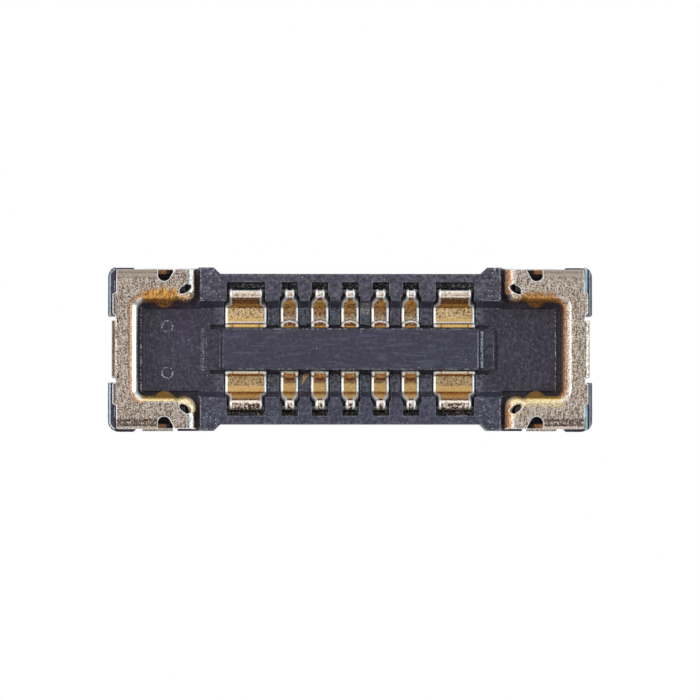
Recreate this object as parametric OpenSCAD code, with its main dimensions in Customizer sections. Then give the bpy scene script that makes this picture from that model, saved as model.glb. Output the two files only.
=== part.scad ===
// Board-to-board receptacle for a flat flexible circuit, mating side up.
// X runs along the contact rows, Z up. The origin is on the solder plane,
// under the middle of the part. All sizes are in millimetres.

/* [Contact rows] */
// Distance between neighbouring signal contacts
pitch = 0.35; // [0.34:0.01:0.45]
// Signal contacts in each row
signal_count = 5; // [3:1:9]
// Width of a signal contact's spring
signal_w = 0.205; // [0.17:0.005:0.21]
// Width of a signal contact's neck, where it passes over the wall
signal_neck_w = 0.11; // [0.08:0.01:0.15]
// Width of the wall slot that holds a signal contact
signal_slot_w = 0.19; // [0.16:0.005:0.2]
// Width of a power contact's spring
power_w = 0.48; // [0.46:0.01:0.6]
// Width of a power contact's neck, where it passes over the wall
power_neck_w = 0.375; // [0.3:0.005:0.4]
// Width of the wall slot that holds a power contact
power_slot_w = 0.445; // [0.42:0.005:0.46]
// Space between the last signal spring and the power spring
power_gap = 0.1625; // [0.14:0.0025:0.25]

/* [Contact strip] */
// Thickness of the contact strip
strip_t = 0.05; // [0.04:0.005:0.055]
// Radius of the strip's bends, along its middle
bend_r = 0.045; // [0.035:0.005:0.055]
// Radius of the two bends of the crown, along the strip's middle
crown_r = 0.038; // [0.03:0.001:0.038]
// Width of the crown between the middles of its legs
crown_w = 0.07; // [0.07:0.005:0.08]
// How far the crown stays below the top of the wall
crown_drop = 0.01; // [0:0.005:0.03]
// How far the inner leg leans towards the island
leg_lean = 0.095; // [0.06:0.005:0.1]
// Height of the spring's flat above the floor
spring_rise = 0.02; // [0.005:0.005:0.04]
// Height of the contact tip over the solder plane
tip_h = 0.34; // [0.28:0.01:0.4]
// How far a signal tip bulges out from its ends
tip_crown = 0.045; // [0.02:0.005:0.06]
// Length of a signal contact's tapered shoulder
signal_taper = 0.05; // [0.02:0.01:0.06]
// Length of a power contact's tapered shoulder
power_taper = 0.02; // [0.01:0.01:0.04]
// How far the neck reaches in over the inner leg of a signal contact
signal_neck_l = 0.075; // [0.05:0.005:0.1]
// How far the neck reaches in over the inner leg of a power contact
power_neck_l = 0.135; // [0.1:0.005:0.15]
// Height of the wide root that holds a contact in its slot
root_h = 0.3; // [0.15:0.01:0.35]
// How far the solder tail ends inside the outer face of the wall
tail_inset = 0.015; // [0:0.005:0.03]

/* [Housing] */
// Height of the housing's underside over the solder plane
standoff = 0.02; // [0.01:0.005:0.03]
// Height of the mating floor over the solder plane
floor_h = 0.15; // [0.13:0.01:0.2]
// Height of the long walls over the solder plane
wall_h = 0.5; // [0.46:0.01:0.6]
// Thickness of a long wall at its top
wall_t = 0.312; // [0.29:0.002:0.36]
// Slope of the wall's inner face, measured across
wall_draft = 0.075; // [0.04:0.005:0.1]
// Wall left outside a contact slot
slot_wall = 0.097; // [0.08:0.001:0.12]
// Open space behind a contact in its slot
slot_back = 0.07; // [0.04:0.005:0.08]
// Width of the mating groove on each side of the island
groove_w = 0.245; // [0.235:0.005:0.3]
// Width of the island
island_w = 0.47; // [0.36:0.01:0.6]
// Height of the island over the solder plane
island_h = 0.46; // [0.4:0.01:0.5]
// How far the island runs past the power springs
island_over = 0.025; // [0.01:0.005:0.05]
// Chamfer along the island's ends
island_chamfer = 0.035; // [0.02:0.005:0.05]
// Length of the low step past each end of the island
step_l = 0.16; // [0.1:0.01:0.18]
// Height of that step over the floor
step_h = 0.06; // [0.03:0.01:0.1]
// Width of the dark relief slot along each side of the island
relief_w = 0.05; // [0.03:0.005:0.06]
// Depth of the relief slot below the floor
relief_d = 0.07; // [0.03:0.01:0.08]
// Plain wall past the power springs, before the shoulders begin
mid_over = 0.055; // [0.04:0.005:0.08]
// Length of the slope that leads out to a shoulder
shoulder_slope = 0.075; // [0.05:0.005:0.1]
// Length of a shoulder block at its outer face
shoulder_l = 0.18; // [0.12:0.01:0.25]
// How far a shoulder stands out from the long wall
shoulder_out = 0.073; // [0.04:0.001:0.085]
// Chamfer along the top of a shoulder's end face, measured along the part
shoulder_chamfer = 0.03; // [0.01:0.005:0.05]
// Chamfer along the outer top edges of the walls
edge_chamfer = 0.015; // [0.005:0.005:0.03]
// How far a corner post reaches past the end of the fitting plate
post_over = 0.1; // [0.08:0.01:0.15]
// Height of a corner post over the solder plane
post_h = 0.43; // [0.3:0.01:0.45]
// Distance from the middle line to the inner side of a corner post
post_in = 0.385; // [0.38:0.005:0.45]
// How far a corner post reaches past the side of the fitting
post_side = 0.03; // [0.01:0.005:0.04]
// Radius of a corner post seen from above
post_r = 0.12; // [0.05:0.01:0.13]
// Space along the side between a solder leg and the base before and after it
leg_space = 0.07; // [0.03:0.01:0.1]
// Radius of the two round mould marks on the floor
mark_r = 0.065; // [0.04:0.005:0.08]
// Depth of the mould marks
mark_d = 0.01; // [0.005:0.005:0.02]

/* [End fittings] */
// Thickness of the fitting's sheet
plate_t = 0.06; // [0.05:0.005:0.07]
// Length of a fitting from its arm ends to its outer edge
fitting_l = 0.915; // [0.88:0.005:1]
// Half of the fitting's width over the rolled sides
fitting_half = 0.92; // [0.92:0.005:0.96]
// Width of the bar that joins the two arms
bar_w = 0.245; // [0.23:0.005:0.28]
// Half width of the opening between the spring walls
opening_half = 0.54; // [0.53:0.005:0.56]
// Radius of the opening's two corners
opening_r = 0.08; // [0.05:0.01:0.12]
// Outer radius of the rolled edges round the opening and at the arm ends
roll_r = 0.11; // [0.1:0.005:0.12]
// Outer radius of the rolled long sides
side_roll_r = 0.12; // [0.09:0.005:0.13]
// Radius of an arm's free inner corner seen from above
arm_corner_r = 0.14; // [0.13:0.005:0.16]
// Width of the strip left between an arm's free corner and its relief hole
strip_w = 0.065; // [0.05:0.005:0.08]
// How far the relief hole runs on past the corner's middle, along each side
hole_over = 0.045; // [0.03:0.005:0.06]
// Width of the relief hole at its two ends
hole_end_w = 0.04; // [0.03:0.005:0.05]
// Height of the spring walls' lower edge
skirt_z = 0.13; // [0.11:0.01:0.25]
// Height of the rolled side's lower edge
side_z = 0.22; // [0.18:0.01:0.35]
// Height of the rolled arm end's lower edge
arm_z = 0.26; // [0.23:0.01:0.35]
// Start of the rolled side, from the arm ends
side_start = 0.455; // [0.44:0.005:0.5]
// Radius of the round relief at the start of the rolled side
notch_r = 0.07; // [0.05:0.005:0.08]
// Distance of the relief's middle from the arm ends
notch_x = 0.375; // [0.36:0.005:0.38]
// Distance of the solder leg's near edge from the arm ends
leg_start = 0.285; // [0.27:0.005:0.32]
// Distance of the solder leg's far edge from the arm ends
leg_end = 0.625; // [0.55:0.005:0.66]
// Reach of the solder foot past the rolled side
foot_out = 0.025; // [0.025:0.005:0.06]
// Radius of the bend between leg and foot, along the sheet's middle
foot_bend_r = 0.045; // [0.035:0.005:0.05]
// How far each end tab stands past the bar
tab_out = 0.04; // [0.02:0.005:0.05]
// Inner distance of an end tab from the middle line
tab_from = 0.4; // [0.39:0.005:0.45]
// Outer distance of an end tab from the middle line
tab_to = 0.64; // [0.55:0.005:0.7]
// Half width of the apron that wraps down over the end
apron_half = 0.33; // [0.25:0.005:0.35]
// How far the apron stands out past the bar
apron_out = 0.065; // [0.065:0.005:0.08]
// Outer radius of the apron's bend
apron_r = 0.08; // [0.07:0.005:0.1]
// Radius of the bump pressed into each spring wall
bump_r = 0.12; // [0.1:0.005:0.14]
// How far the bump stands out from the spring wall
bump_out = 0.06; // [0.03:0.005:0.07]
// Distance of the bump's middle from the arm ends
bump_x = 0.365; // [0.33:0.005:0.4]
// Height of the bump's middle over the solder plane
bump_h = 0.33; // [0.3:0.01:0.36]

/* [Clearances] */
// Space between a spring and the sides of its window
spring_gap = 0.015; // [0.01:0.005:0.02]
// Space between a contact tip and the island
tip_gap = 0.01; // [0.005:0.005:0.02]
// Space between a shoulder and the arm end beside it
arm_gap = 0.025; // [0.015:0.005:0.04]
// Space between the housing and the walls of the fitting
fitting_gap = 0.012; // [0.005:0.001:0.015]
// Space over a solder tail in its groove
tail_gap = 0.01; // [0.005:0.005:0.02]

/* [Hidden] */
arc_steps = 8;
ring_steps = 64;
round_steps = 48;
eps = 0.01;
rows = ["a", "b"];

// Places across the part, from the middle line outwards
island_y = island_w / 2;
groove_y = island_y + groove_w;
wall_in_y = groove_y + wall_draft;
wall_out_y = wall_in_y + wall_t;
slot_end_y = wall_out_y - slot_wall;
leg_y = slot_end_y - slot_back - strip_t / 2;
tip_y = island_y + tip_gap + strip_t / 2;
shoulder_y = wall_out_y + shoulder_out;
post_y = fitting_half + post_side;

// Places along the part, from the middle outwards
power_x = (signal_count - 1) / 2 * pitch + signal_w / 2 + power_gap + power_w / 2;
power_end_x = power_x + power_w / 2;
island_x = power_end_x + island_over + island_chamfer;
mid_x = power_end_x + mid_over;
shoulder_x = mid_x + shoulder_slope + shoulder_l;
arm_x = shoulder_x + arm_gap;
bar_x = arm_x + fitting_l;
opening_x = bar_x - bar_w;
post_x = bar_x + post_over;
base_side_y = fitting_half - plate_t - fitting_gap;
ledge_x = arm_x + leg_start - leg_space;
foot_x = arm_x + leg_end + leg_space;
recess_x = bar_x + apron_out - plate_t - fitting_gap;
apron_flat_x = bar_x + apron_out - apron_r;

// Heights of strip and sheet middles
crown_z = wall_h - crown_drop - strip_t / 2;
spring_z = floor_h + spring_rise - strip_t / 2;
plate_z = wall_h + plate_t / 2;

// Unit vector along v
function unit(v) = v / norm(v);

// Points of an arc about c
function arc(c, r, from, to, n = arc_steps) =
    [for (i = [0:n]) let (a = from + (to - from) * i / n) c + r * [cos(a), sin(a)]];

// The arc that rounds the corner q between p and s
function corner_arc(p, q, s, r) =
    let (
        u = unit(p - q),
        v = unit(s - q),
        half = acos(u * v) / 2,
        c = q + unit(u + v) * r / sin(half),
        a = q + u * r / tan(half) - c,
        b = q + v * r / tan(half) - c,
        from = atan2(a[1], a[0]),
        turn = atan2(a[0] * b[1] - a[1] * b[0], a * b)
    )
    arc(c, r, from, from + turn);

// A path whose corners are rounded, each to its own radius
function bent_path(p, radii) =
    let (last = len(p) - 1)
    concat(
        [p[0]],
        [for (i = [1:last - 1]) each corner_arc(p[i - 1], p[i], p[i + 1], radii[i - 1])],
        [p[last]]
    );

// Outline of a strip of thickness t that follows a path on both sides
function strip(p, t) =
    let (
        last = len(p) - 1,
        side = [for (i = [0:last])
            let (d = unit(p[min(i + 1, last)] - p[max(i - 1, 0)]))
            [-d[1], d[0]] * t / 2]
    )
    concat(
        [for (i = [0:last]) p[i] + side[i]],
        [for (i = [last:-1:0]) p[i] - side[i]]
    );

// A polygon in the YZ plane, drawn out along X from x0 to x1
module along_x(x0, x1, points) {
    translate([x0, 0, 0])
        rotate([90, 0, 90])
            linear_extrude(x1 - x0)
                polygon(points);
}

// A polygon in the XZ plane, drawn out along Y from y0 to y1
module along_y(y0, y1, points) {
    translate([0, y1, 0])
        rotate([90, 0, 0])
            linear_extrude(y1 - y0)
                polygon(points);
}

// A polygon in plan, drawn up from z0 to z1
module upright(z0, z1, points) {
    translate([0, 0, z0])
        linear_extrude(z1 - z0)
            polygon(points);
}

// The children and their mirror image across the middle line
module both_sides() {
    children();
    mirror([0, 1, 0]) children();
}

// The children and their mirror image at the other end
module both_ends() {
    children();
    mirror([1, 0, 0]) children();
}

// The children at each signal contact's place
module at_signals() {
    for (i = [1:signal_count])
        translate([signal_x(i), 0, 0]) children();
}
function signal_x(i) = (i - (signal_count + 1) / 2) * pitch;

// Side view of a contact strip from its solder tail to path point "end"
function contact_path(end) =
    bent_path(
        concat([
            [wall_out_y - tail_inset, strip_t / 2],
            [leg_y, strip_t / 2],
            [leg_y, crown_z],
            [leg_y - crown_w, crown_z],
            [leg_y - crown_w - leg_lean, spring_z]
        ], end),
        [bend_r, crown_r, crown_r, bend_r, bend_r]
    );

// Plan of a contact: wide spring, tapered shoulder and neck
function contact_plan(w, neck_w, neck_l, taper) =
    let (in_y = leg_y - neck_l, far = wall_out_y)
    [
        [-w / 2, 0], [w / 2, 0],
        [w / 2, in_y - taper], [neck_w / 2, in_y],
        [neck_w / 2, far], [-neck_w / 2, far],
        [-neck_w / 2, in_y], [-w / 2, in_y - taper]
    ];

// Everything that a contact's outline may fill: the spring and neck above,
// and below them the wide root and tail that sit in the slot
module contact_limits(w, neck_w, neck_l, taper, slot_w) {
    upright(0, wall_h, contact_plan(w, neck_w, neck_l, taper));
    translate([-slot_w / 2, leg_y - strip_t / 2, 0])
        cube([slot_w, wall_out_y - leg_y, root_h]);
}

// Plan of a signal tip: flat towards the island and bowed out on the other side
function tip_plan() =
    let (
        chord = signal_w / 2,
        r = (chord * chord + tip_crown * tip_crown) / (2 * tip_crown),
        half = asin(chord / r),
        out_y = tip_y + strip_t / 2 + tip_crown / 2
    )
    concat(
        arc([0, out_y - r], r, 90 - half, 90 + half),
        [[-chord, tip_y - strip_t / 2], [chord, tip_y - strip_t / 2]]
    );

// One signal contact in row a, centred on X
module signal_form() {
    intersection() {
        along_x(-signal_w / 2, signal_w / 2,
            strip(contact_path([[tip_y + tip_crown, spring_z]]), strip_t));
        contact_limits(signal_w, signal_neck_w, signal_neck_l, signal_taper, signal_slot_w);
    }
    upright(spring_z - strip_t / 2, tip_h, tip_plan());
}

// One power contact in row a, centred on X
module power_form() {
    intersection() {
        along_x(-power_w / 2, power_w / 2,
            strip(contact_path([[tip_y, spring_z], [tip_y, tip_h]]), strip_t));
        contact_limits(power_w, power_neck_w, power_neck_l, power_taper, power_slot_w);
    }
}

// Turns row a's form into row b's
module in_row(row) {
    mirror([0, row == "b" ? 1 : 0, 0]) children();
}

module signal_contact(row, i) {
    color("#c9a468")
        in_row(row) translate([signal_x(i), 0, 0]) signal_form();
}

module power_contact(row, i) {
    color("#c49a58")
        in_row(row) translate([i == 1 ? -power_x : power_x, 0, 0]) power_form();
}

// Plan of the housing's base at one end, in the quarter where X and Y are positive
function base_quarter() =
    concat(
        [
            [0, 0], [0, wall_out_y],
            [mid_x, wall_out_y], [mid_x + shoulder_slope, shoulder_y],
            [ledge_x, shoulder_y], [ledge_x, base_side_y],
            [foot_x, base_side_y], [foot_x, post_y - post_side], [foot_x + post_side, post_y]
        ],
        arc([post_x - post_r, post_y - post_r], post_r, 90, 0),
        [[post_x, post_in], [recess_x, post_in], [recess_x, 0]]
    );

// Section of a long wall, with a chamfer on its outer top edge
function wall_section(out_y) = [
    [groove_y, floor_h - eps], [groove_y, floor_h], [wall_in_y, wall_h],
    [out_y - edge_chamfer, wall_h], [out_y, wall_h - edge_chamfer],
    [out_y, floor_h - eps]
];

// Long walls with their shoulders, chamfered along the top of their ends
module long_walls() {
    top_x = shoulder_x - shoulder_chamfer;
    top_z = wall_h - 2 * shoulder_chamfer;
    intersection() {
        both_sides() {
            along_x(-shoulder_x, shoulder_x, wall_section(wall_out_y));
            both_ends()
                intersection() {
                    along_x(mid_x, shoulder_x, wall_section(shoulder_y));
                    upright(0, wall_h, base_quarter());
                }
        }
        along_y(-shoulder_y, shoulder_y, [
            [-shoulder_x, 0], [shoulder_x, 0], [shoulder_x, top_z], [top_x, wall_h],
            [-top_x, wall_h], [-shoulder_x, top_z]
        ]);
    }
}

// Rails under the fitting's arms and bar, which carry its plate
module end_rails() {
    rail_in_y = opening_half + roll_r + fitting_gap;
    rail_out_y = fitting_half - side_roll_r - fitting_gap;
    rail_x = opening_x + roll_r + fitting_gap;
    rail_arm_x = arm_x + roll_r + fitting_gap;
    post_face_x = bar_x + fitting_gap;
    both_sides() {
        translate([rail_arm_x, rail_in_y, floor_h - eps])
            cube([post_face_x + eps - rail_arm_x, rail_out_y - rail_in_y, wall_h - floor_h + eps]);
        // Corner post with a bevelled top
        intersection() {
            upright(standoff, post_h, base_quarter());
            along_y(post_in, post_y, [
                [post_face_x, 0], [post_x, 0], [post_x, post_h - 3 * edge_chamfer],
                [post_x - 2 * edge_chamfer, post_h], [post_face_x, post_h]
            ]);
        }
    }
    translate([rail_x, -rail_out_y, floor_h - eps])
        cube([apron_flat_x - fitting_gap - rail_x, 2 * rail_out_y, wall_h - floor_h + eps]);
}

// Island between the rows, with a chamfer and a low step at each end
module island() {
    both_ends()
        along_y(-island_y, island_y, [
            [0, floor_h - eps], [island_x + step_l + step_h, floor_h - eps],
            [island_x + step_l + step_h, floor_h], [island_x + step_l, floor_h + step_h],
            [island_x, floor_h + step_h], [island_x, island_h - 2 * island_chamfer],
            [island_x - island_chamfer, island_h], [0, island_h]
        ]);
}

// Trench round the floor's end, for the lower edges of the spring walls
module end_trench() {
    trench_z = skirt_z - fitting_gap - plate_t / 2;
    trench_out_y = opening_half + roll_r;
    trench_x = opening_x + plate_t + fitting_gap;
    floor_x = opening_x - plate_t;
    both_sides()
        translate([shoulder_x, groove_y, trench_z])
            cube([trench_x - shoulder_x, trench_out_y - groove_y, wall_h]);
    translate([floor_x, -trench_out_y, trench_z])
        cube([trench_x - floor_x, 2 * trench_out_y, wall_h]);
}

// Slot, window and tail groove of one contact in row a, centred on X
module contact_cut(w, slot_w, neck_l, taper) {
    window_w = w + 2 * spring_gap;
    slot_in_y = leg_y - neck_l;
    // Window under the spring, widened into the wall round the shoulder
    upright(0, wall_h + eps, [
        [-window_w / 2, island_y], [window_w / 2, island_y],
        [window_w / 2, slot_in_y], [slot_w / 2, slot_in_y + spring_gap],
        [-slot_w / 2, slot_in_y + spring_gap], [-window_w / 2, slot_in_y]
    ]);
    // Slot down through the wall for the legs
    translate([-slot_w / 2, slot_in_y, 0])
        cube([slot_w, leg_y + strip_t / 2 + spring_gap - slot_in_y, wall_h + eps]);
    // Space behind the outer leg, down to the floor's height
    translate([-slot_w / 2, leg_y, floor_h])
        cube([slot_w, slot_end_y - leg_y, wall_h]);
    // Groove for the tail under the wall
    translate([-slot_w / 2, slot_in_y, 0])
        cube([slot_w, wall_out_y - slot_in_y + eps, strip_t + tail_gap]);
}

module housing() {
    color("#3f3c4a")
        difference() {
            union() {
                both_ends() both_sides() upright(standoff, floor_h, base_quarter());
                long_walls();
                both_ends() end_rails();
                island();
            }
            both_ends() end_trench();
            both_sides() {
                at_signals() contact_cut(signal_w, signal_slot_w, signal_neck_l, signal_taper);
                both_ends() translate([power_x, 0, 0])
                    contact_cut(power_w, power_slot_w, power_neck_l, power_taper);
                // Relief slot along the island
                translate([-island_x - step_l + relief_w, island_y, floor_h - relief_d])
                    cube([2 * (island_x + step_l - relief_w), relief_w, wall_h]);
            }
            // Round mould marks on one end of the floor
            both_sides()
                translate([-(arm_x + opening_x) / 2, island_y + mark_r / 2, floor_h - mark_d])
                    cylinder(r = mark_r, h = wall_h, $fn = round_steps);
        }
}

// Section of a rolled edge. It starts "reach" in from the rolled face and ends at height z
function rolled(reach, z, r) =
    strip(
        bent_path([[reach, plate_z], [plate_t / 2, plate_z], [plate_t / 2, z]], [r - plate_t / 2]),
        plate_t
    );

// The section's points measured from a face, towards dir
function from_face(face, dir, section) = [for (p = section) [face + dir * p[0], p[1]]];

// A rolled edge carried through a quarter turn about [x, y], from angle a. The quarter is
// cut from a whole ring, whose seam is turned away from it
module rolled_corner(x, y, face, dir, a, section) {
    translate([x, y, 0])
        rotate([0, 0, a])
            intersection() {
                rotate([0, 0, 225])
                    rotate_extrude($fn = ring_steps)
                        polygon(from_face(face, dir, section));
                cube(wall_h + plate_t + eps);
            }
}

// Flat of one half of the fitting's plate, outside its rolled edges
module plate_half() {
    flat_in_x = opening_x + roll_r;
    flat_in_y = opening_half + roll_r;
    flat_out_y = fitting_half - side_roll_r;
    flat_arm_x = arm_x + roll_r;
    turn_x = opening_x - opening_r;
    turn_y = opening_half - opening_r;
    upright(wall_h, wall_h + plate_t, concat(
        [[flat_in_x, -eps], [apron_flat_x, -eps]],
        [[apron_flat_x, apron_half], [bar_x, apron_half + tab_out]],
        [[bar_x, tab_from], [bar_x + tab_out, tab_from]],
        [[bar_x + tab_out, tab_to], [bar_x, tab_to + tab_out / 2]],
        [[bar_x, flat_out_y], [arm_x + side_start, flat_out_y]],
        arc([arm_x + notch_x, flat_out_y + notch_r / 2], notch_r, 0, -135),
        [[arm_x + leg_start - notch_r / 2, fitting_half]],
        [[flat_arm_x, fitting_half], [flat_arm_x, opening_half + arm_corner_r]],
        [[arm_x + arm_corner_r, flat_in_y]],
        arc([turn_x, turn_y], opening_r + roll_r, 90, 0)
    ));
}

// Spring wall of one arm: straight, round the opening's corner and across the bar
module spring_wall() {
    turn_x = opening_x - opening_r;
    turn_y = opening_half - opening_r;
    section = rolled(roll_r + eps, skirt_z, roll_r);
    along_x(arm_x + arm_corner_r, turn_x, from_face(opening_half, 1, section));
    rolled_corner(turn_x, turn_y, opening_r, 1, 0, section);
    along_y(-eps, turn_y, from_face(opening_x, 1, section));
}

// Rolled end of an arm, carried on round its free corner
module arm_end() {
    corner_x = arm_x + arm_corner_r;
    corner_y = opening_half + arm_corner_r;
    section = rolled(roll_r + eps, arm_z, roll_r);
    along_y(corner_y, fitting_half, from_face(arm_x, 1, section));
    rolled_corner(corner_x, corner_y, arm_corner_r, -1, 180, section);
}

// Relief hole at an arm's free corner. It leaves a strip of the rolled edge
module relief_hole() {
    corner_x = arm_x + arm_corner_r;
    corner_y = opening_half + arm_corner_r;
    x = arm_x + strip_w;
    y = opening_half + strip_w;
    upright(wall_h - roll_r, wall_h + plate_t + eps, concat(
        [[x + hole_end_w, corner_y + hole_over], [x, corner_y + hole_over]],
        arc([corner_x, corner_y], arm_corner_r - strip_w, 180, 270),
        [[corner_x + hole_over, y], [corner_x + hole_over, y + hole_end_w]]
    ));
}

// Rolled side of the fitting with the solder leg and foot below it
module side_wall() {
    section = rolled(side_roll_r + eps, side_z, side_roll_r);
    leg_section = strip(
        bent_path([
            [-foot_out, plate_t / 2], [plate_t / 2, plate_t / 2], [plate_t / 2, wall_h - plate_t]
        ], [foot_bend_r]),
        plate_t
    );
    along_x(arm_x + side_start, bar_x, from_face(fitting_half, -1, section));
    along_x(arm_x + leg_start, arm_x + leg_end, from_face(fitting_half, -1, leg_section));
}

// Apron that wraps down over the end of the housing
module apron() {
    section = rolled(apron_r + eps, 0, apron_r);
    along_y(-eps, apron_half, from_face(bar_x + apron_out, -1, section));
}

// One half of a fitting, at the end where X is positive
module fitting_half_form() {
    bump_y = opening_half - bump_out + bump_r;
    difference() {
        union() {
            plate_half();
            spring_wall();
            arm_end();
            side_wall();
            apron();
            // Bump pressed inwards out of the spring wall
            intersection() {
                translate([arm_x + bump_x, bump_y, bump_h])
                    sphere(r = bump_r, $fn = round_steps);
                translate([arm_x, opening_half - bump_out, skirt_z])
                    cube([fitting_l, bump_out + plate_t / 2, wall_h - skirt_z]);
            }
        }
        relief_hole();
        // Hollow behind the bump
        translate([arm_x + bump_x, bump_y + plate_t, bump_h])
            sphere(r = bump_r, $fn = round_steps);
    }
}

module end_fitting() {
    color("#c9bba8")
        both_sides() fitting_half_form();
}

housing();
mirror([1, 0, 0]) end_fitting();  // end_fitting_left
end_fitting();  // end_fitting_right
for (row = rows, i = [1:signal_count])
    signal_contact(row, i);
for (row = rows, i = [1:2])
    power_contact(row, i);
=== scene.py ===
"""Looks of the board-to-board receptacle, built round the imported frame.

Shapes are worked out in millimetres and turned into metres when a mesh is made.
X runs along the contact rows, Z up, as in the frame.
"""
import math

import bmesh
import bpy
from mathutils import Matrix, Vector


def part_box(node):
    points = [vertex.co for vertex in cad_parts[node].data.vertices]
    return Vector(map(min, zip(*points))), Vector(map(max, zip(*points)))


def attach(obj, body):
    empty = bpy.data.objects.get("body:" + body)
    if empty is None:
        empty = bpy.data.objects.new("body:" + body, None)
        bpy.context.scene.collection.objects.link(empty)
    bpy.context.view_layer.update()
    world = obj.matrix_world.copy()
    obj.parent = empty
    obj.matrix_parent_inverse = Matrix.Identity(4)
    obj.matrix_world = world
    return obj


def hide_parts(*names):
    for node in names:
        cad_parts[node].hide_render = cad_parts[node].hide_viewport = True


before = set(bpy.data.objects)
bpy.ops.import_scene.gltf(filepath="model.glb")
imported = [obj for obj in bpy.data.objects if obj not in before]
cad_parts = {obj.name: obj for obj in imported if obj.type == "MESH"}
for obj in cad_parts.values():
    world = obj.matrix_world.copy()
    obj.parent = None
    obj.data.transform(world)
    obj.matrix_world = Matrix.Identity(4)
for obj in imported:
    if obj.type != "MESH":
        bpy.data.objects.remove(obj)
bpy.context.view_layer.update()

MM = 0.001

# Contact rows. Outwards from its spring flat, a strip narrows to its neck over TAPER, up to NECK_Y
PITCH = 0.35
SIGNALS = 5
SIGNAL_W, SIGNAL_NECK_W, SIGNAL_ROOT_W = 0.205, 0.112, 0.186
POWER_W, POWER_NECK_W, POWER_ROOT_W = 0.48, 0.378, 0.441
SIGNAL_NECK_Y, SIGNAL_TAPER = 0.6, 0.055
POWER_NECK_Y, POWER_TAPER = 0.54, 0.022

# Contact strip, seen from the end of the part
STRIP_T = 0.05
LEG_Y, CROWN_W, CROWN_Z = 0.675, 0.07, 0.465
LEG_LEAN = 0.095
SPRING_Z = 0.145
TIP_Y, TIP_H = 0.27, 0.34
TAIL_Y = 0.852
BEND_R, CROWN_R = 0.045, 0.038
ROOT_H, ROOT_TAPER = 0.3, 0.015
STRIP_STEP = 0.012

# Signal tip: its foot and its end set off from TIP_Y, and its bow
TIP_FOOT_BACK, TIP_END_IN = 0.022, 0.002
TIP_BOW, BOW_RISE, BOW_END_Y = 0.042, 0.06, 0.45

# Rounded edge of a strip: its radius through the strip, its width across, and its points per quarter
EDGE_R, EDGE_W, EDGE_STEPS = 0.02, 0.035, 5
# Share of the edge's width at which it is fully marked as an edge
EDGE_MARK = 0.6
# Shares of the thickness where the mark on a strip's rounded end sets in, and where it goes out
TIP_MARK_IN, TIP_MARK_OUT = (0.55, 0.75), (1, 0.97)

# End fitting, at the end where X is positive
SHEET_T = 0.06
PLATE_Z = 0.53
ARM_X, BAR_X = 1.78, 2.695
OPENING_X, OPENING_Y, OPENING_R = 2.45, 0.54, 0.08
SIDE_Y = 0.92
ARM_FREE_R = 0.14
ROLL_R, SIDE_ROLL_R, APRON_ROLL_R = 0.08, 0.09, 0.035
SKIRT_Z, ARM_Z, SIDE_Z, APRON_Z = 0.13, 0.26, 0.22, 0.004
# Width of the plate between its rolls and its one big face
FLAT_RIM = 0.014

# Relief hole near an arm's free corner: middle, direction, and half its length and width
HOLE_AT = Vector((1.908, 0.688))
HOLE_ALONG = Vector((0.82, -0.572))
HOLE_ACROSS = Vector((-HOLE_ALONG.y, HOLE_ALONG.x))
HOLE_L, HOLE_W = 0.072, 0.038

# Pressed bump of a spring wall
BUMP_X, BUMP_Z = ARM_X + 0.365, 0.33
BUMP_R, BUMP_OUT, BUMP_POWER = 0.105, 0.062, 1.15

# Dip of an arm's inner edge: its depth, and where it sets in and goes out
DIP, DIP_IN, DIP_OUT = 0.024, (1.925, 1.985), (2.055, 2.0)

# Round notch at the start of the rolled side
NOTCH_AT, NOTCH_R, NOTCH_MOUTH_X = (2.143, 0.852), 0.072, 2.022

# Rolled side, and the solder leg below it
SIDE_START_X = 2.215
LEG_IN_X, LEG_OUT_X, LEG_CUT = 2.045, ARM_X + 0.625, 0.02
FOOT_Y, FOOT_BEND_R = 0.944, 0.045

# End of the bar: how far the tab and the step beside it stand out, and the aprons
TAB_OUT, STEP_OUT = 0.042, 0.012
APRON_Y = 0.33
RIGHT_APRON_X, LEFT_APRON_X = 2.76, 2.748


def unit(v):
    """v scaled to a length of 1."""
    return v / v.length


def arc(centre, radius, start, end, steps):
    """Points of an arc, with its angles in degrees."""
    angles = [math.radians(start + (end - start) * i / steps) for i in range(steps + 1)]
    return [Vector((centre[0] + radius * math.cos(a), centre[1] + radius * math.sin(a))) for a in angles]


def corner(p, q, s, radius, steps):
    """The arc that rounds the corner q between p and s."""
    u, v = unit(p - q), unit(s - q)
    half = u.angle(v) / 2
    centre = q + unit(u + v) * radius / math.sin(half)
    a, b = q + u * radius / math.tan(half) - centre, q + v * radius / math.tan(half) - centre
    start = math.degrees(math.atan2(a.y, a.x))
    turn = math.degrees(math.atan2(a.x * b.y - a.y * b.x, a.dot(b)))
    return arc(centre, radius, start, start + turn, steps)


def bent_path(points, radii, steps=10):
    """A path whose inner corners are rounded, each to its own radius."""
    pts = [Vector(p) for p in points]
    out = [pts[0]]
    for i in range(1, len(pts) - 1):
        out += corner(pts[i - 1], pts[i], pts[i + 1], radii[i - 1], steps)
    return out + [pts[-1]]


def resample(path, step):
    """The path with its long stretches divided into pieces of about one step."""
    out = [path[0]]
    for a, b in zip(path, path[1:]):
        n = max(1, round((b - a).length / step))
        out += [a.lerp(b, i / n) for i in range(1, n + 1)]
    return out


def smooth(x, start, end):
    """0 at start, 1 at end, an even S-curve between them, and level beyond."""
    t = min(max((x - start) / (end - start), 0), 1)
    return t * t * (3 - 2 * t)


def add_object(name, data):
    """An object in the scene that shows a mesh, a light or a camera."""
    obj = bpy.data.objects.new(name, data)
    bpy.context.scene.collection.objects.link(obj)
    return obj


def add_mesh(name, verts, faces):
    """A mesh object from its points."""
    mesh = bpy.data.meshes.new(name)
    mesh.from_pydata([tuple(v) for v in verts], [], faces)
    return add_object(name, mesh)


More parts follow.
